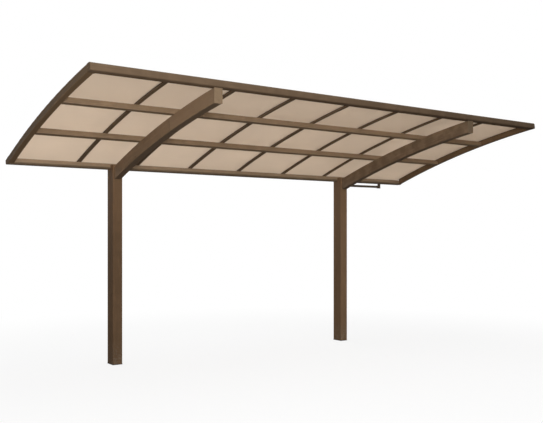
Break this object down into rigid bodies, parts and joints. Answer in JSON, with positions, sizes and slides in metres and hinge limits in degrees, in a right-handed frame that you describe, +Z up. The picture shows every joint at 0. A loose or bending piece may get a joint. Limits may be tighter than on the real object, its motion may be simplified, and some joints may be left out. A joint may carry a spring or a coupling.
{
  "type": "cantilever cycle port with a curved sheet roof",
  "caption": "Open cycle port: rear posts carry arched beams that reach forward under a curved roof of tinted sheets, with a rear gutter and a downpipe.",
  "frame": {"origin": "centre of the left post's foot, on the ground", "axes": "+X along the roof to the right post, +Y to the low rear side with the gutter, +Z up"},
  "size_m": [5.774, 2.4535, 2.8756],
  "materials": {
    "bronze_frame": "satin bronze-brown coated aluminium extrusion with fine drawing lines",
    "bronze_caps": "matt bronze-brown moulded end caps",
    "roof_sheet": "smoky bronze translucent polycarbonate sheet",
    "drain_plastic": "dark brown moulded rainwater fittings"
  },
  "bodies": {
    "root": {"left_post": "bronze_frame", "right_post": "bronze_frame", "left_beam": "bronze_frame", "right_beam": "bronze_frame", "left_beam_cap": "bronze_caps", "right_beam_cap": "bronze_caps", "front_purlin": "bronze_frame", "rear_purlin": "bronze_frame", "front_frame": "bronze_frame", "front_frame_left_cap": "bronze_caps", "front_frame_right_cap": "bronze_caps", "gutter": "bronze_frame", "gutter_left_cap": "bronze_caps", "gutter_right_cap": "bronze_caps", "left_side_frame": "bronze_frame", "right_side_frame": "bronze_frame", "rafter_1": "bronze_frame", "rafter_2": "bronze_frame", "rafter_3": "bronze_frame", "rafter_4": "bronze_frame", "rafter_5": "bronze_frame", "rafter_6": "bronze_frame", "rafter_7": "bronze_frame", "cover_1": "bronze_frame", "cover_2": "bronze_frame", "cover_3": "bronze_frame", "cover_4": "bronze_frame", "cover_5": "bronze_frame", "cover_6": "bronze_frame", "cover_7": "bronze_frame", "panel_1": "roof_sheet", "panel_2": "roof_sheet", "panel_3": "roof_sheet", "panel_4": "roof_sheet", "panel_5": "roof_sheet", "panel_6": "roof_sheet", "panel_7": "roof_sheet", "panel_8": "roof_sheet", "gutter_outlet": "drain_plastic", "outlet_elbow": "drain_plastic", "drain_pipe": "drain_plastic", "downpipe_elbow": "drain_plastic", "downpipe": "drain_plastic", "pipe_clips": "drain_plastic", "downpipe_shoe": "drain_plastic"}
  },
  "joints": []
}
